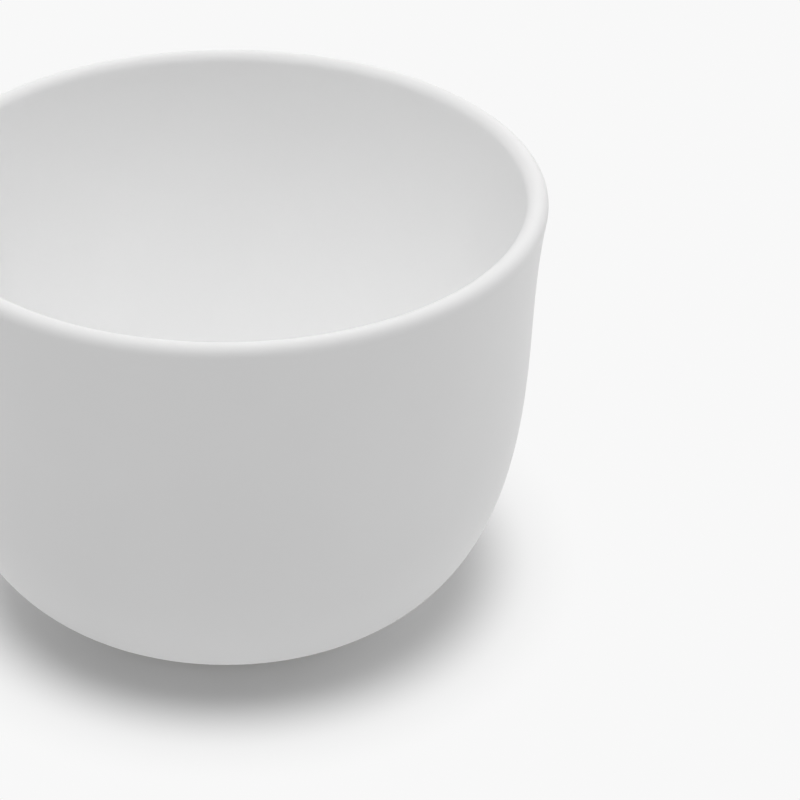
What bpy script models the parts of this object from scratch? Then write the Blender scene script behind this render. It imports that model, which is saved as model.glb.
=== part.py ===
# Handleless espresso cup in white porcelain.
# Metres, +Z up. The origin is the centre of the plane that the foot ring stands on.
# Every piece is a profile in the XZ plane, turned about the Z axis.
import math

import bpy
from mathutils import Vector

# Overall form, measured over the glaze
RIM_DIAMETER = 0.0650
HEIGHT = 0.0470

# Full-round lip, and the flare below it
LIP_THICKNESS = 0.00225
LIP_LEAN = math.radians(10.3)

# Neck: the place where the wall stands straightest, set in from the rim on each side
NECK_INSET = 0.0013
NECK_DEPTH = 0.0136
NECK_LEAN = math.radians(3.2)
WALL_THICKNESS = 0.0028

# Belly: one sweep from the neck to the foot; a pull is how far it holds its direction at that end
NECK_PULL = 0.01085
UNDERSIDE_PULL = 0.0152
UNDERSIDE_LEAN = math.radians(78.0)
HEEL_THICKNESS = 0.0044

# Foot ring and the recess inside it
FOOT_DIAMETER = 0.0290
FOOT_WIDTH = 0.0024
FOOT_EDGE_RADIUS = 0.0005
RECESS_DEPTH = 0.0015
FLOOR_THICKNESS = 0.0030

# Glaze: its thickness, its clearance to the clay, and where the main coat stops above the table
GLAZE_THICKNESS = 0.00025
GLAZE_CLEARANCE = 0.00025
GLAZE_LINE_HEIGHT = 0.0014

# Facets: steps around the axis, and along each stretch of the profile
TURN_STEPS = 48
FLARE_STEPS = 3
BELLY_STEPS = 10
FLOOR_STEPS = 3
LIP_QUARTER_STEPS = 3
FOOT_EDGE_STEPS = 2
MERGE_DISTANCE = 0.00001

RIM_RADIUS = RIM_DIAMETER / 2
LIP_RADIUS = LIP_THICKNESS / 2
LIP_CENTRE = Vector((RIM_RADIUS - LIP_RADIUS, HEIGHT - LIP_RADIUS))
FOOT_RADIUS = FOOT_DIAMETER / 2
RECESS_RADIUS = FOOT_RADIUS - FOOT_WIDTH
FLOOR_HEIGHT = RECESS_DEPTH + FLOOR_THICKNESS
CLAY_DEPTH = GLAZE_THICKNESS + GLAZE_CLEARANCE
QUARTER_TURN = math.pi / 2


def heading(lean):
    # unit direction down the wall, leaning in towards the axis
    return Vector((-math.sin(lean), -math.cos(lean)))


def outward(direction):
    # unit normal on the outer side of a line that runs down the wall
    return Vector((-direction.y, direction.x)).normalized()


def sweep(start, start_pull, end_pull, end, steps):
    # points of a cubic curve, each with its outward normal; the pulls are the curve's handles
    handles = (start, start + start_pull, end - end_pull, end)
    points = []
    for step in range(steps + 1):
        t = step / steps
        s = 1 - t
        weights = (s ** 3, 3 * s * s * t, 3 * s * t * t, t ** 3)
        slopes = (-s * s, s * s - 2 * s * t, 2 * s * t - t * t, t * t)
        place = Vector((0, 0))
        direction = Vector((0, 0))
        for handle, weight, slope in zip(handles, weights, slopes):
            place += handle * weight
            direction += handle * slope
        points.append((place, outward(direction), t))
    return points


def arc(centre, radius, first, last, steps):
    points = []
    for step in range(steps + 1):
        angle = first + (last - first) * step / steps
        points.append(centre + radius * Vector((math.cos(angle), math.sin(angle))))
    return points


def wall():
    # the outer face from the lip down to the glaze line: point, normal and wall thickness
    lip_side = LIP_CENTRE + LIP_RADIUS * outward(heading(LIP_LEAN))
    neck = Vector((RIM_RADIUS - NECK_INSET, HEIGHT - NECK_DEPTH))
    glaze_line = Vector((FOOT_RADIUS + CLAY_DEPTH, GLAZE_LINE_HEIGHT))
    third = (neck - lip_side).length / 3
    flare = sweep(lip_side, heading(LIP_LEAN) * third, heading(NECK_LEAN) * third, neck, FLARE_STEPS)
    belly = sweep(neck, heading(NECK_LEAN) * NECK_PULL, heading(UNDERSIDE_LEAN) * UNDERSIDE_PULL,
                  glaze_line, BELLY_STEPS)
    stations = []
    for place, normal, t in flare[1:]:
        stations.append((place, normal, LIP_THICKNESS + (WALL_THICKNESS - LIP_THICKNESS) * t))
    for place, normal, t in belly[1:]:
        stations.append((place, normal, WALL_THICKNESS + (HEEL_THICKNESS - WALL_THICKNESS) * t))
    return stations


def inside():
    # the inner face from below the lip down to the middle of the floor: point, and normal into the wall
    stations = [(place - normal * thickness, normal) for place, normal, thickness in wall()]
    heel = stations[-1][0]
    third = heel.x / 3
    floor = sweep(heel, heading(UNDERSIDE_LEAN) * third, heading(QUARTER_TURN) * third,
                  Vector((0, FLOOR_HEIGHT)), FLOOR_STEPS)
    stations.extend((place, normal) for place, normal, t in floor[1:])
    return stations


def glazed_face(depth):
    # the glazed surface, sunk by a depth: middle of the floor, up the inside, over the lip, down the outside
    line = [place + normal * depth for place, normal in reversed(inside())]
    radius = LIP_RADIUS - depth
    inner_side = 2 * QUARTER_TURN - LIP_LEAN
    line += arc(LIP_CENTRE, radius, inner_side, QUARTER_TURN, LIP_QUARTER_STEPS)
    line += arc(LIP_CENTRE, radius, QUARTER_TURN, 0, LIP_QUARTER_STEPS)[1:]
    line += arc(LIP_CENTRE, radius, 0, -LIP_LEAN, 1)[1:]
    line += [place - normal * depth for place, normal, thickness in wall()]
    line[0].x = 0
    return line


def body_profile():
    # the clay's glazed face, then the bare foot ring and the recess inside it
    edge = FOOT_EDGE_RADIUS
    line = glazed_face(CLAY_DEPTH)
    line.append(Vector((FOOT_RADIUS, line[-1].y)))
    line += arc(Vector((FOOT_RADIUS - edge, edge)), edge, 0, -QUARTER_TURN, FOOT_EDGE_STEPS)
    line += arc(Vector((RECESS_RADIUS + edge, edge)), edge, -QUARTER_TURN, -2 * QUARTER_TURN, FOOT_EDGE_STEPS)
    line.append(Vector((RECESS_RADIUS, RECESS_DEPTH)))
    line.append(Vector((0, RECESS_DEPTH)))
    return line


def coat_profile():
    # the glaze's face, then back along the side that lies on the clay
    return glazed_face(0) + list(reversed(glazed_face(GLAZE_THICKNESS)))


def base_profile():
    # a thin disc under the ceiling of the recess
    radius = RECESS_RADIUS - GLAZE_CLEARANCE
    top = RECESS_DEPTH - GLAZE_CLEARANCE
    bottom = top - GLAZE_THICKNESS
    return [Vector((0, top)), Vector((radius, top)), Vector((radius, bottom)), Vector((0, bottom))]


def make_material(name, colour, roughness):
    material = bpy.data.materials.new(name)
    material.use_nodes = True
    shader = material.node_tree.nodes["Principled BSDF"]
    shader.inputs["Base Color"].default_value = (*colour, 1)
    shader.inputs["Roughness"].default_value = roughness
    shader.inputs["Metallic"].default_value = 0
    material.diffuse_color = (*colour, 1)
    return material


def turned(name, profile, material, collection):
    # a profile turned once round the Z axis
    vertices = [(point.x, 0, point.y) for point in profile]
    edges = [(index, index + 1) for index in range(len(vertices) - 1)]
    mesh = bpy.data.meshes.new(name)
    mesh.from_pydata(vertices, edges, [])
    mesh.materials.append(material)
    piece = bpy.data.objects.new(name, mesh)
    collection.objects.link(piece)
    screw = piece.modifiers.new("Turn", "SCREW")
    screw.axis = "Z"
    screw.angle = 4 * QUARTER_TURN
    screw.steps = TURN_STEPS
    screw.render_steps = TURN_STEPS
    screw.use_merge_vertices = True
    screw.merge_threshold = MERGE_DISTANCE
    screw.use_smooth_shade = True
    return piece


def main():
    for old in list(bpy.data.objects):
        bpy.data.objects.remove(old, do_unlink=True)
    cup = bpy.data.collections.new("espresso_cup")
    bpy.context.scene.collection.children.link(cup)

    clay = make_material("bare_porcelain", (0.80, 0.78, 0.74), 0.75)
    glaze = make_material("satin_white_glaze", (0.93, 0.93, 0.93), 0.42)
    underside = make_material("underside_glaze", (0.92, 0.92, 0.92), 0.46)

    turned("porcelain_body", body_profile(), clay, cup)
    turned("glaze_coat", coat_profile(), glaze, cup)
    turned("base_glaze", base_profile(), underside, cup)


main()
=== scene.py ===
import math

import bmesh
import bpy
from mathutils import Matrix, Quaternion, Vector


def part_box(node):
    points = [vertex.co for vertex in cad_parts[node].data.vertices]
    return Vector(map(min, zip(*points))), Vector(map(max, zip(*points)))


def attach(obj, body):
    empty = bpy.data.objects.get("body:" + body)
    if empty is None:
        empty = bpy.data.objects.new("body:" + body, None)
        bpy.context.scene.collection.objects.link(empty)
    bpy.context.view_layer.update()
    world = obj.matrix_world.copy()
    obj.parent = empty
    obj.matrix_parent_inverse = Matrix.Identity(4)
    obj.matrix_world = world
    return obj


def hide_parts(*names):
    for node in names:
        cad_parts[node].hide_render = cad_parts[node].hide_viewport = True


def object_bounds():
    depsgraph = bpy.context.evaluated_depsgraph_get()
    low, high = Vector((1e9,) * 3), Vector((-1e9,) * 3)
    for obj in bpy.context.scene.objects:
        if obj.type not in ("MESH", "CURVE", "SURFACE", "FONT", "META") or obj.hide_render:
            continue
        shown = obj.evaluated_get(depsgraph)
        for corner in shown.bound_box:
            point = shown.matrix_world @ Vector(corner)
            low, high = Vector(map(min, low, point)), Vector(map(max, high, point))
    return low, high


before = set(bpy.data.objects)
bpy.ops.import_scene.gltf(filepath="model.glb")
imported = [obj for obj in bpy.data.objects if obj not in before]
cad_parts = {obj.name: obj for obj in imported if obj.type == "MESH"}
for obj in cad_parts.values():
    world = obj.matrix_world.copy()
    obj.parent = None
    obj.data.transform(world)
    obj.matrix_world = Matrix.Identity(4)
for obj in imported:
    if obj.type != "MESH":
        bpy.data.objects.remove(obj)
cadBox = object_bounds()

# What the frame gives: metres, +Z up, the origin under the middle of the foot ring
rimRadius = (cadBox[1].x - cadBox[0].x) / 2
cupHeight = cadBox[1].z - cadBox[0].z
clayDepth = cadBox[1].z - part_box("porcelain_body")[1].z  # from the glaze's face in to the clay
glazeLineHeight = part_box("glaze_coat")[0].z
quarterTurn = math.pi / 2

# The turned form that the pieces share; leans are in degrees, a pull is how far a sweep holds its direction
cupForm = {
    "lipThickness": 0.00225,
    "lipLean": 10.3,
    "neckInset": 0.0013,
    "neckDepth": 0.0136,
    "neckLean": 3.2,
    "neckPull": 0.01085,
    "wallThickness": 0.0028,
    "heelThickness": 0.0044,
    "undersidePull": 0.0152,
    "undersideLean": 78.0,
    "footRadius": 0.0145,
    "footWidth": 0.0024,
    "recessDepth": 0.0015,
    "floorThickness": 0.0030,
    "flareSteps": 12,
    "bellySteps": 40,
    "floorSteps": 16,
    "lipSteps": 24,
    "turnSteps": 192,
    "hiddenShare": 0.3,  # hidden faces have this share of the profile steps
    "leastSteps": 2,
    "mergeDistance": 0.000001,
    "sharpAngle": 50,
}
lipRadius = cupForm["lipThickness"] / 2
lipCentre = Vector((rimRadius - lipRadius, cupHeight - lipRadius))
lipLean = math.radians(cupForm["lipLean"])
neckLean = math.radians(cupForm["neckLean"])
undersideLean = math.radians(cupForm["undersideLean"])
footRadius = cupForm["footRadius"]
recessRadius = footRadius - cupForm["footWidth"]

# Camera: where the middle of the lip's ring falls in the photo, and from how far off it is seen
photoView = {
    "imageSize": 800,
    "ringAtX": 225.6,
    "ringAtY": 200.3,
    "elevation": 28.0,
    "distance": 0.5845,
    "roll": 0.424,
    "lens": 261.2,
    "sensor": 36.0,
    "clipStart": 0.01,
}


def placeCamera():
    cameraData = bpy.data.cameras.new("photoCamera")
    cameraData.lens = photoView["lens"]
    cameraData.sensor_width = photoView["sensor"]
    cameraData.clip_start = photoView["clipStart"]
    camera = bpy.data.objects.new("photoCamera", cameraData)
    bpy.context.scene.collection.objects.link(camera)
    bpy.context.scene.camera = camera
    elevation = math.radians(photoView["elevation"])
    toCamera = Vector((0, -math.cos(elevation), math.sin(elevation)))
    camera.location = Vector((0, 0, lipCentre.y)) + toCamera * photoView["distance"]
    # the ray through the ring's pixel is turned onto the line from the camera to the ring
    half = photoView["imageSize"] / 2
    pixelSize = photoView["sensor"] / photoView["imageSize"]
    ringRay = Vector((
        (photoView["ringAtX"] - half) * pixelSize,
        (half - photoView["ringAtY"]) * pixelSize,
        -photoView["lens"],
    ))
    straightOn = (-toCamera).to_track_quat("-Z", "Y")
    roll = Quaternion((0, 0, 1), -math.radians(photoView["roll"]))
    camera.rotation_mode = "QUATERNION"
    camera.rotation_quaternion = straightOn @ roll @ ringRay.rotation_difference(Vector((0, 0, -1)))
    print("camera placed")


# Profile lines: x is the distance from the axis, y the height
def heading(lean):
    return Vector((-math.sin(lean), -math.cos(lean)))  # down the wall, leaning in


def outward(direction):
    return Vector((-direction.y, direction.x)).normalized()


def sweep(start, startPull, endPull, end, steps):
    # a cubic from start to end: point, outward normal and share of the way
    handles = (start, start + startPull, end - endPull, end)
    points = []
    for step in range(steps + 1):
        t = step / steps
        s = 1 - t
        weights = (s ** 3, 3 * s * s * t, 3 * s * t * t, t ** 3)
        slopes = (-s * s, s * s - 2 * s * t, 2 * s * t - t * t, t * t)
        place = Vector((0, 0))
        direction = Vector((0, 0))
        for handle, weight, slope in zip(handles, weights, slopes):
            place += handle * weight
            direction += handle * slope
        points.append((place, outward(direction), t))
    return points


def arc(centre, radius, first, last, steps):
    points = []
    for step in range(steps + 1):
        angle = first + (last - first) * step / steps
        points.append(centre + radius * Vector((math.cos(angle), math.sin(angle))))
    return points


def stepsOf(name, share):
    return max(cupForm["leastSteps"], round(cupForm[name] * share))


def outerWall(share):
    # from the lip down to the glaze line: point, outward normal and wall thickness
    lipWay, neckWay, underWay = heading(lipLean), heading(neckLean), heading(undersideLean)
    lipSide = lipCentre + lipRadius * outward(lipWay)
    neck = Vector((rimRadius - cupForm["neckInset"], cupHeight - cupForm["neckDepth"]))
    glazeLine = Vector((footRadius + clayDepth, glazeLineHeight))
    third = (neck - lipSide).length / 3
    flare = sweep(lipSide, lipWay * third, neckWay * third, neck, stepsOf("flareSteps", share))
    belly = sweep(neck, neckWay * cupForm["neckPull"], underWay * cupForm["undersidePull"], glazeLine,
                  stepsOf("bellySteps", share))
    stretches = (
        (flare, cupForm["lipThickness"], cupForm["wallThickness"]),
        (belly, cupForm["wallThickness"], cupForm["heelThickness"]),
    )
    stations = []
    for stretch, top, bottom in stretches:
        for place, normal, t in stretch[1:]:
            stations.append((place, normal, top * (1 - t) + bottom * t))
    return stations


def innerWall(share):
    # from under the lip down to the middle of the floor: point, and normal into the wall
    stations = [(place - normal * thickness, normal) for place, normal, thickness in outerWall(share)]
    heel = stations[-1][0]
    third = heel.x / 3
    middle = Vector((0, cupForm["recessDepth"] + cupForm["floorThickness"]))
    floor = sweep(heel, heading(undersideLean) * third, heading(quarterTurn) * third, middle,
                  stepsOf("floorSteps", share))
    stations.extend((place, normal) for place, normal, t in floor[1:])
    return stations


def glazedFace(depth, share=1):
    # middle of the floor, up the inside, over the lip and down the outside, sunk by a depth
    line = [place + normal * depth for place, normal in reversed(innerWall(share))]
    line += arc(lipCentre, lipRadius - depth, math.pi - lipLean, -lipLean, stepsOf("lipSteps", share))
    line += [place - normal * depth for place, normal, thickness in outerWall(share)]
    line[0].x = 0
    return line


def turnPiece(name, line, material):
    # the profile turned once round the axis, as a closed smooth mesh
    vertices = [(point.x, 0, point.y) for point in line]
    edges = [(index, index + 1) for index in range(len(vertices) - 1)]
    profile = bpy.data.meshes.new(name + "Profile")
    profile.from_pydata(vertices, edges, [])
    piece = bpy.data.objects.new(name, profile)
    bpy.context.scene.collection.objects.link(piece)
    screw = piece.modifiers.new("turn", "SCREW")
    screw.axis = "Z"
    screw.steps = cupForm["turnSteps"]
    screw.render_steps = cupForm["turnSteps"]
    screw.use_merge_vertices = True
    screw.merge_threshold = cupForm["mergeDistance"]
    screw.use_smooth_shade = True
    mesh = bpy.data.meshes.new_from_object(piece.evaluated_get(bpy.context.evaluated_depsgraph_get()))
    mesh.name = name
    piece.modifiers.clear()
    piece.data = mesh
    bpy.data.meshes.remove(profile)
    mesh.set_sharp_from_angle(angle=math.radians(cupForm["sharpAngle"]))
    mesh.materials.append(material)
    return piece


def seatPiece(piece, node):
    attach(piece, "root")
    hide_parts(node)
    print(piece.name, "turned:", len(piece.data.polygons), "faces")


# Node helpers: an input that is a socket is linked, any other value is set
def feed(tree, node, name, value):
    if isinstance(value, bpy.types.NodeSocket):
        tree.links.new(value, node.inputs[name])
    else:
        node.inputs[name].default_value = value


def addNode(tree, kind, inputs, **settings):
    node = tree.nodes.new("ShaderNode" + kind)
    for name, value in settings.items():
        setattr(node, name, value)
    for name, value in inputs.items():
        feed(tree, node, name, value)
    return node


def calc(tree, operation, first, second=0.0):
    return addNode(tree, "Math", {0: first, 1: second}, operation=operation).outputs[0]


def multiplyAdd(tree, value, factor, added):
    return addNode(tree, "Math", {0: value, 1: factor, 2: added}, operation="MULTIPLY_ADD").outputs[0]


def vectorCalc(tree, operation, first, second=(0, 0, 0)):
    return addNode(tree, "VectorMath", {0: first, 1: second}, operation=operation).outputs["Vector"]


def measure(tree, operation, first, second=(0, 0, 0)):
    return addNode(tree, "VectorMath", {0: first, 1: second}, operation=operation).outputs["Value"]


def softStep(tree, value, zeroAt, oneAt):
    inputs = {"Value": value, "From Min": zeroAt, "From Max": oneAt}
    return addNode(tree, "MapRange", inputs, interpolation_type="SMOOTHSTEP").outputs["Result"]


def mixValue(tree, share, first, second):
    # inputs 2 and 3 of a Mix node are its two values, and output 0 is the mixed one
    return addNode(tree, "Mix", {0: share, 2: first, 3: second}).outputs[0]


def mixColour(tree, share, first, second):
    # inputs 6 and 7 of a Mix node are its two colours, and output 2 is the mixed one
    return addNode(tree, "Mix", {0: share, 6: first, 7: second}, data_type="RGBA").outputs[2]


noiseMiddle = 0.5  # the value that noise strays about


def noise(tree, place, size, detail):
    return addNode(tree, "TexNoise", {"Vector": place, "Scale": 1 / size, "Detail": detail}).outputs["Fac"]


def objectPlace(tree):
    return addNode(tree, "TexCoord", {}).outputs["Object"]


def levelPart(tree, vector):
    return vectorCalc(tree, "MULTIPLY", vector, (1, 1, 0))


def upPart(tree, vector):
    return addNode(tree, "SeparateXYZ", {0: vector}).outputs["Z"]


def seenDirectly(tree):
    # 1 for camera, glossy and transmission rays
    path = addNode(tree, "LightPath", {}).outputs
    mirrored = calc(tree, "MAXIMUM", path["Is Glossy Ray"], path["Is Transmission Ray"])
    return calc(tree, "MAXIMUM", path["Is Camera Ray"], mirrored)


def startGroup(name, inputs, outputs):
    group = bpy.data.node_groups.new(name, "ShaderNodeTree")
    for label, kind in inputs.items():
        group.interface.new_socket(label, in_out="INPUT", socket_type="NodeSocket" + kind)
    for label, kind in outputs.items():
        group.interface.new_socket(label, in_out="OUTPUT", socket_type="NodeSocket" + kind)
    return group, group.nodes.new("NodeGroupInput").outputs, group.nodes.new("NodeGroupOutput")


def placeGroup(tree, group, inputs):
    return addNode(tree, "Group", inputs, node_tree=group).outputs


def startMaterial(name):
    material = bpy.data.materials.new(name)
    material.use_nodes = True
    tree = material.node_tree
    return material, tree, tree.nodes["Principled BSDF"]


def bump(tree, height):
    # heights are in metres
    return addNode(tree, "Bump", {"Height": height, "Distance": 1.0}).outputs["Normal"]


def grey(value):
    return (value, value, value, 1)


# Glaze skin, for both glazes: faint clouds, orange peel, fine satin crystals and a few pinholes, with
# painted shade in their pits
skinDetail = {
    "cloudSize": 0.016,
    "cloudDetail": 3.0,
    "cloudFrom": 0.35,
    "cloudFull": 0.65,
    "peelSize": 0.0024,
    "peelDetail": 1.0,
    "peelHeight": 0.000008,
    "crystalSize": 0.00035,
    "crystalDetail": 2.0,
    "crystalHeight": 0.0000007,
    "roughnessSpread": 0.10,
    "pinholeSpacing": 0.003,
    "pinholeRadius": 0.00008,
    "pinholeDepth": 0.00002,
    # painted shade: the pinholes' pits are greyed
    "pinholeShadeColor": grey(0.5),
    "pinholeShadeShare": 0.15,
}


def makeGlazeSkin():
    tree, given, result = startGroup(
        "glazeSkin",
        {"Color": "Color", "Cloud Color": "Color", "Roughness": "Float", "Unevenness": "Float"},
        {"Color": "Color", "Roughness": "Float", "Height": "Float"})
    place = objectPlace(tree)
    clouds = noise(tree, place, skinDetail["cloudSize"], skinDetail["cloudDetail"])
    peel = noise(tree, place, skinDetail["peelSize"], skinDetail["peelDetail"])
    crystals = noise(tree, place, skinDetail["crystalSize"], skinDetail["crystalDetail"])
    spacing = skinDetail["pinholeSpacing"]
    holes = addNode(tree, "TexVoronoi", {"Vector": place, "Scale": 1 / spacing}).outputs["Distance"]
    hole = softStep(tree, holes, skinDetail["pinholeRadius"] / spacing, 0.0)
    cloudy = softStep(tree, clouds, skinDetail["cloudFrom"], skinDetail["cloudFull"])
    colour = mixColour(tree, cloudy, given["Color"], given["Cloud Color"])
    # painted shade in the pinhole pits
    pitShadeShare = calc(tree, "MULTIPLY", hole, skinDetail["pinholeShadeShare"])
    feed(tree, result, "Color", mixColour(tree, pitShadeShare, colour, skinDetail["pinholeShadeColor"]))
    drift = calc(tree, "SUBTRACT", calc(tree, "ADD", peel, crystals), 2 * noiseMiddle)
    feed(tree, result, "Roughness",
         multiplyAdd(tree, drift, skinDetail["roughnessSpread"], given["Roughness"]))
    evenPeel = calc(tree, "MULTIPLY", peel, skinDetail["peelHeight"])
    height = calc(tree, "MULTIPLY", evenPeel, given["Unevenness"])
    grain = calc(tree, "MULTIPLY", crystals, skinDetail["crystalHeight"])
    pit = calc(tree, "MULTIPLY", hole, -skinDetail["pinholeDepth"])
    feed(tree, result, "Height", calc(tree, "ADD", calc(tree, "ADD", height, grain), pit))
    print("glaze skin group made")
    return tree


# Thin edge, for every finish: a ragged mask along a height or a radius, where glaze runs thin
edgeDetail = {
    "raggedSize": 0.0011,
    "raggedDetail": 2.0,
    "raggedReach": 0.0005,
}


def makeThinEdge():
    tree, given, result = startGroup(
        "thinEdge",
        {"Along": "Float", "Thin At": "Float", "Full At": "Float"},
        {"Mask": "Float"})
    grain = noise(tree, objectPlace(tree), edgeDetail["raggedSize"], edgeDetail["raggedDetail"])
    ragged = calc(tree, "SUBTRACT", grain, noiseMiddle)
    along = calc(tree, "ADD", given["Along"], calc(tree, "MULTIPLY", ragged, edgeDetail["raggedReach"]))
    feed(tree, result, "Mask", softStep(tree, along, given["Full At"], given["Thin At"]))
    print("thin edge group made")
    return tree


glazeSkin = makeGlazeSkin()
thinEdge = makeThinEdge()


def edgeMask(tree, along, thinAt, fullAt):
    return placeGroup(tree, thinEdge, {"Along": along, "Thin At": thinAt, "Full At": fullAt})["Mask"]


def thinOut(tree, colour, mask, share, thinColour):
    return mixColour(tree, calc(tree, "MULTIPLY", mask, share), colour, thinColour)


# Satin white glaze: neutral and even; whiter inside, painted light that stands for light coming through the
# wall
satinFinish = {
    "color": grey(0.930),
    "cloudColor": grey(0.920),
    # painted light: the inside is whiter than the outside, standing for light through the wall
    "paintedLightInsideColor": grey(0.972),
    "paintedLightInsideCloudColor": grey(0.965),
    "insideFrom": -0.3,  # a face that looks straight out from the axis is at 1, straight in at -1
    "insideFull": -0.9,
    "bowlFrom": 0.9,  # in shares of the height: from here down, a face that looks up counts as inside too
    "bowlFull": 0.6,
    "thinColor": (0.905, 0.892, 0.870, 1),  # the clay's warmth, through the lip's crest and the foot's bead
    "roughness": 0.42,
    "unevenness": 1.0,
    "lipReach": 0.0005,
    "lipShare": 0.10,
    "beadReach": 0.0007,
    "beadShare": 0.65,
}


def paintedLightMask(tree, place, height):
    # 1 where a face looks in at the axis or up from the floor, 0 on the lip's crest and outside: the share
    # of the inside's painted light
    normal = addNode(tree, "TexCoord", {}).outputs["Normal"]
    fromAxis = vectorCalc(tree, "NORMALIZE", levelPart(tree, place))
    lookingOut = measure(tree, "DOT_PRODUCT", normal, fromAxis)
    bowl = softStep(tree, height, satinFinish["bowlFrom"] * cupHeight, satinFinish["bowlFull"] * cupHeight)
    lookingUp = calc(tree, "MULTIPLY", bowl, upPart(tree, normal))
    facing = calc(tree, "SUBTRACT", lookingOut, lookingUp)
    return softStep(tree, facing, satinFinish["insideFrom"], satinFinish["insideFull"])


def makeSatinGlaze():
    material, tree, shader = startMaterial("satinWhiteGlaze")
    place = objectPlace(tree)
    height = upPart(tree, place)
    # painted light: the inside takes a whiter grey than the outside
    inside = paintedLightMask(tree, place, height)
    skin = placeGroup(tree, glazeSkin, {
        "Color": mixColour(tree, inside, satinFinish["color"], satinFinish["paintedLightInsideColor"]),
        "Cloud Color": mixColour(tree, inside, satinFinish["cloudColor"], satinFinish["paintedLightInsideCloudColor"]),
        "Roughness": satinFinish["roughness"],
        "Unevenness": satinFinish["unevenness"]})
    beadLow = glazeLineHeight - clayDepth
    lip = edgeMask(tree, height, cupHeight, cupHeight - satinFinish["lipReach"])
    bead = edgeMask(tree, height, beadLow, beadLow + satinFinish["beadReach"])
    colour = thinOut(tree, skin["Color"], lip, satinFinish["lipShare"], satinFinish["thinColor"])
    colour = thinOut(tree, colour, bead, satinFinish["beadShare"], satinFinish["thinColor"])
    feed(tree, shader, "Base Color", colour)
    feed(tree, shader, "Roughness", skin["Roughness"])
    feed(tree, shader, "Normal", bump(tree, skin["Height"]))
    return material


# Glaze coat: the satin skin over the inside, the lip and the outside; round the foot it ends in a thin bead
glazeCoat = {
    "thickness": 0.00025,
    "beadRadius": 0.00008,
    "seat": 0.00002,  # the bead's gap to the foot ring
    "coveSteps": 8,
    "beadSteps": 6,
    "wander": 0.00010,  # how far the glaze line strays up and down
    "waves": ((5, 0.5, 0), (11, 0.3, 1), (19, 0.2, 2)),  # its waves: times round, share and start
}


def glazeBead():
    # a cove from the underside to the foot ring, the bead that ends it, and the way back up behind it
    radius = glazeCoat["beadRadius"]
    ringSide = footRadius + glazeCoat["seat"]
    glazeLine = Vector((footRadius + clayDepth, glazeLineHeight))
    coveRadius = (glazeLine.x - ringSide - 2 * radius) / (1 - math.cos(undersideLean))
    centre = glazeLine + outward(heading(undersideLean)) * coveRadius
    line = []
    for step in range(1, glazeCoat["coveSteps"] + 1):
        lean = undersideLean * (1 - step / glazeCoat["coveSteps"])
        line.append(centre - outward(heading(lean)) * coveRadius)
    line += arc(line[-1] - Vector((radius, 0)), radius, 0, -math.pi, glazeCoat["beadSteps"])[1:]
    line.append(Vector((ringSide, glazeLine.y + glazeCoat["thickness"])))
    return line


def wanderGlazeLine(coat):
    # lifts and drops the bead a little on its way round, as a brushed or wiped edge does
    for vertex in coat.data.vertices:
        reach = math.hypot(vertex.co.x, vertex.co.y)
        if reach > footRadius + clayDepth or vertex.co.z > glazeLineHeight:
            continue
        angle = math.atan2(vertex.co.y, vertex.co.x)
        wave = sum(share * math.sin(times * angle + start) for times, share, start in glazeCoat["waves"])
        vertex.co.z += glazeCoat["wander"] * wave * min(1, (glazeLineHeight - vertex.co.z) / clayDepth)


def makeGlazeCoat():
    back = list(reversed(glazedFace(glazeCoat["thickness"], cupForm["hiddenShare"])))
    coat = turnPiece("satinGlazeCoat", glazedFace(0) + glazeBead() + back, makeSatinGlaze())
    wanderGlazeLine(coat)
    seatPiece(coat, "glaze_coat")


# Bare porcelain: warm and matt, with fine grit, the turned lines of trimming and grey rub marks below
clayFinish = {
    "color": (0.800, 0.780, 0.740, 1),
    "gritColor": (0.740, 0.715, 0.670, 1),
    "rubColor": (0.540, 0.530, 0.510, 1),
    "flashColor": (0.860, 0.845, 0.815, 1),
    "roughness": 0.75,
    "roughnessSpread": 0.25,
    "flashRoughness": 0.55,
    "flashReach": 0.0009,  # the clay is paler and smoother this far below the glaze line
    "gritSize": 0.00022,
    "gritDetail": 3.0,
    "gritFrom": 0.45,
    "gritFull": 0.75,
    "gritHeight": 0.00001,
    "linePitch": 0.00030,
    "lineSway": 4.0,  # in radians of a line's wave
    "lineHeight": 0.000004,
    "rubSize": 0.0018,
    "rubDetail": 2.0,
    "rubFrom": 0.45,
    "rubFull": 0.65,
    "rubReach": 0.00012,
    "rubShare": 0.45,
}


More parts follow.
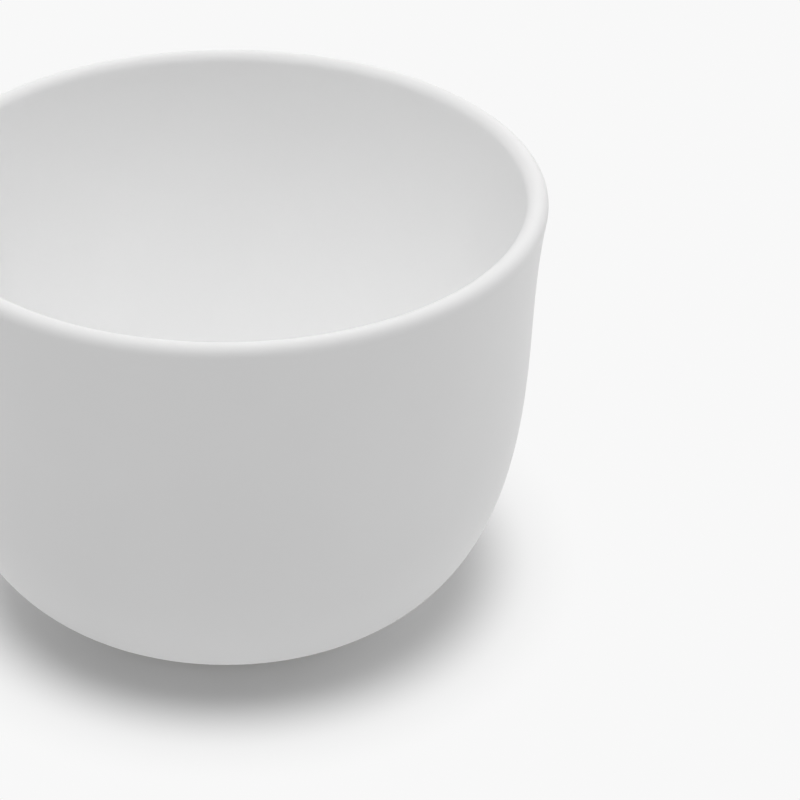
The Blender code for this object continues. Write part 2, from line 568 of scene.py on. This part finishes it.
def makeBarePorcelain():
    material, tree, shader = startMaterial("barePorcelain")
    place = objectPlace(tree)
    reach = measure(tree, "LENGTH", levelPart(tree, place))
    height = upPart(tree, place)
    grit = noise(tree, place, clayFinish["gritSize"], clayFinish["gritDetail"])
    sway = noise(tree, place, clayFinish["rubSize"], clayFinish["rubDetail"])
    swing = calc(tree, "MULTIPLY", sway, clayFinish["lineSway"])
    lines = calc(tree, "SINE", multiplyAdd(tree, reach, 2 * math.pi / clayFinish["linePitch"], swing))
    flash = edgeMask(tree, height, glazeLineHeight, glazeLineHeight - clayFinish["flashReach"])
    flat = softStep(tree, height, clayFinish["rubReach"], 0.0)
    patches = softStep(tree, sway, clayFinish["rubFrom"], clayFinish["rubFull"])
    rub = calc(tree, "MULTIPLY", calc(tree, "MULTIPLY", flat, patches), clayFinish["rubShare"])
    gritty = softStep(tree, grit, clayFinish["gritFrom"], clayFinish["gritFull"])
    colour = mixColour(tree, gritty, clayFinish["color"], clayFinish["gritColor"])
    colour = mixColour(tree, flash, colour, clayFinish["flashColor"])
    feed(tree, shader, "Base Color", mixColour(tree, rub, colour, clayFinish["rubColor"]))
    sheen = calc(tree, "MULTIPLY", flash, clayFinish["flashRoughness"] - clayFinish["roughness"])
    drift = calc(tree, "SUBTRACT", grit, noiseMiddle)
    rough = multiplyAdd(tree, drift, clayFinish["roughnessSpread"], clayFinish["roughness"])
    feed(tree, shader, "Roughness", calc(tree, "ADD", rough, sheen))
    grain = calc(tree, "MULTIPLY", grit, clayFinish["gritHeight"])
    feed(tree, shader, "Normal", bump(tree, multiplyAdd(tree, lines, clayFinish["lineHeight"], grain)))
    return material


# Porcelain body: bare only at the foot ring
footRing = {
    "edge": 0.0005,
    "edgeSteps": 8,
}


def makePorcelainBody():
    edge = footRing["edge"]
    line = glazedFace(clayDepth, cupForm["hiddenShare"])
    line.append(Vector((footRadius, line[-1].y)))
    line += arc(Vector((footRadius - edge, edge)), edge, 0, -quarterTurn, footRing["edgeSteps"])
    line += arc(Vector((recessRadius + edge, edge)), edge, -quarterTurn, -math.pi, footRing["edgeSteps"])
    line.append(Vector((recessRadius, cupForm["recessDepth"])))
    line.append(Vector((0, cupForm["recessDepth"])))
    seatPiece(turnPiece("porcelainBody", line, makeBarePorcelain()), "porcelain_body")


# Underside glaze: the same glaze, wiped, so it lies less even and runs out warm at its edge
undersideFinish = {
    "color": grey(0.920),
    "cloudColor": grey(0.895),
    "thinColor": (0.865, 0.850, 0.822, 1),
    "roughness": 0.46,
    "unevenness": 1.8,
    "edgeReach": 0.0010,
    "edgeShare": 0.7,
}


def makeUndersideGlaze():
    material, tree, shader = startMaterial("undersideGlaze")
    skin = placeGroup(tree, glazeSkin, {
        "Color": undersideFinish["color"],
        "Cloud Color": undersideFinish["cloudColor"],
        "Roughness": undersideFinish["roughness"],
        "Unevenness": undersideFinish["unevenness"]})
    reach = measure(tree, "LENGTH", levelPart(tree, objectPlace(tree)))
    edge = edgeMask(tree, reach, recessRadius, recessRadius - undersideFinish["edgeReach"])
    colour = thinOut(tree, skin["Color"], edge, undersideFinish["edgeShare"], undersideFinish["thinColor"])
    feed(tree, shader, "Base Color", colour)
    feed(tree, shader, "Roughness", skin["Roughness"])
    feed(tree, shader, "Normal", bump(tree, skin["Height"]))
    return material


# Base glaze: the patch inside the foot ring, drawn a little down the recess wall round its edge
basePatch = {
    "seat": 0.00004,  # its gap to the recess wall
    "coveRadius": 0.00035,
    "beadRadius": 0.00006,
    "coveSteps": 8,
    "beadSteps": 6,
}


def makeBaseGlaze():
    low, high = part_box("base_glaze")
    cove, bead = basePatch["coveRadius"], basePatch["beadRadius"]
    wallSide = recessRadius - basePatch["seat"]
    beadCentre = Vector((wallSide - bead, low.z - cove))
    coveCentre = Vector((wallSide - 2 * bead - cove, low.z - cove))
    line = [Vector((0, high.z)), Vector((wallSide, high.z))]
    line += arc(beadCentre, bead, 0, -math.pi, basePatch["beadSteps"])
    line += arc(coveCentre, cove, 0, quarterTurn, basePatch["coveSteps"])[1:]
    line.append(Vector((0, low.z)))
    seatPiece(turnPiece("footGlazePatch", line, makeUndersideGlaze()), "base_glaze")


# Studio floor: a grey oval under the cup takes its cast shadow, and its grey colour and the glow fading
# towards the cup add painted shade; the rest is lit from within, like a light table
studioFloor = {
    "size": 20,
    "background": 0.94,  # the tone of floor and backdrop, as the camera and mirrored rays see it
    "shadeFrom": 0.023,
    "shadeTo": 0.0325,
    "tailTo": 0.038,  # a faint share of the shade runs out to here
    "tailShare": 0.35,
    "shadeBehind": 0.0065,  # the middle of the oval lies this far behind the cup's axis
    "shadeStretch": 1.15,  # its length from front to back, by its width
    # painted shade: the oval's floor is this grey, darker than the open floor, so part of the shadow's
    # depth is colour
    "paintedShadeColor": 0.60,
    "bounce": 0.72,  # what the floor sends up to the cup from further out
    "underBounce": 0.35,  # and from under the cup
    "bounceFrom": 0.012,
    "bounceTo": 0.040,
}


def makeLightTable():
    material, tree, shader = startMaterial("paleFloor")
    place = objectPlace(tree)
    squeeze = 1 / studioFloor["shadeStretch"]
    oval = vectorCalc(tree, "MULTIPLY", place, (1, squeeze, 1))
    reach = measure(tree, "DISTANCE", oval, (0, studioFloor["shadeBehind"] * squeeze, 0))
    core = softStep(tree, reach, studioFloor["shadeFrom"], studioFloor["shadeTo"])
    tail = softStep(tree, reach, studioFloor["shadeFrom"], studioFloor["tailTo"])
    # painted shade: 0 in the grey oval near the cup, 1 where the floor glows evenly
    clearOfPaintedShade = mixValue(tree, studioFloor["tailShare"], core, tail)
    fromAxis = measure(tree, "LENGTH", place)
    clear = softStep(tree, fromAxis, studioFloor["bounceFrom"], studioFloor["bounceTo"])
    bounce = mixValue(tree, clear, studioFloor["underBounce"], studioFloor["bounce"])
    # painted shade: towards the cup the floor's glow fades out and its grey colour shows
    seen = calc(tree, "MULTIPLY", clearOfPaintedShade, studioFloor["background"])
    feed(tree, shader, "Base Color", mixColour(tree, clearOfPaintedShade, grey(studioFloor["paintedShadeColor"]), grey(0.0)))
    feed(tree, shader, "Emission Color", grey(1.0))
    feed(tree, shader, "Emission Strength", mixValue(tree, seenDirectly(tree), bounce, seen))
    feed(tree, shader, "Roughness", 1.0)
    feed(tree, shader, "Specular IOR Level", 0.0)
    return material


def makeFloor():
    mesh = bpy.data.meshes.new("paleFloor")
    work = bmesh.new()
    bmesh.ops.create_grid(work, x_segments=1, y_segments=1, size=studioFloor["size"])
    work.to_mesh(mesh)
    work.free()
    mesh.materials.append(makeLightTable())
    floor = bpy.data.objects.new("paleFloor", mesh)
    bpy.context.scene.collection.objects.link(floor)
    print("floor laid")


# Soft lights: azimuth from the camera's side and elevation in degrees, then tightness and strength
softLights = {
    "front": (0, 45, 16, 0.15),
    "frontTop": (0, 70, 40, 0.20),
    "right": (90, 45, 16, 0.20),
    "backRightLow": (135, 15, 12, 0.25),
    "back": (180, 45, 16, 0.15),
    "backLeft": (225, 45, 16, 0.10),
    "backLeftTop": (225, 70, 40, 0.20),
    "left": (270, 45, 16, 0.15),
}


def makeStudioLight():
    world = bpy.data.worlds.new("studio")
    bpy.context.scene.world = world
    world.use_nodes = True
    tree = world.node_tree
    sky = addNode(tree, "TexCoord", {}).outputs["Generated"]
    total = 0.0
    for azimuth, elevation, tightness, strength in softLights.values():
        side, rise = math.radians(azimuth), math.radians(elevation)
        towards = (math.sin(side) * math.cos(rise), -math.cos(side) * math.cos(rise), math.sin(rise))
        facing = measure(tree, "DOT_PRODUCT", sky, towards)
        lobe = calc(tree, "POWER", calc(tree, "MAXIMUM", facing, 0.0), tightness)
        # at strength 1, one light alone brings a white surface that faces it nearly to white
        brightness = strength * (tightness + 1) / 2
        total = multiplyAdd(tree, lobe, brightness, total)
    shown = mixValue(tree, seenDirectly(tree), total, studioFloor["background"])
    feed(tree, tree.nodes["Background"], "Strength", shown)
    feed(tree, tree.nodes["Background"], "Color", grey(1.0))
    print("lights set:", len(softLights))


bpy.context.scene.view_settings.view_transform = "Standard"
placeCamera()
makeGlazeCoat()
makePorcelainBody()
makeBaseGlaze()
makeFloor()
makeStudioLight()
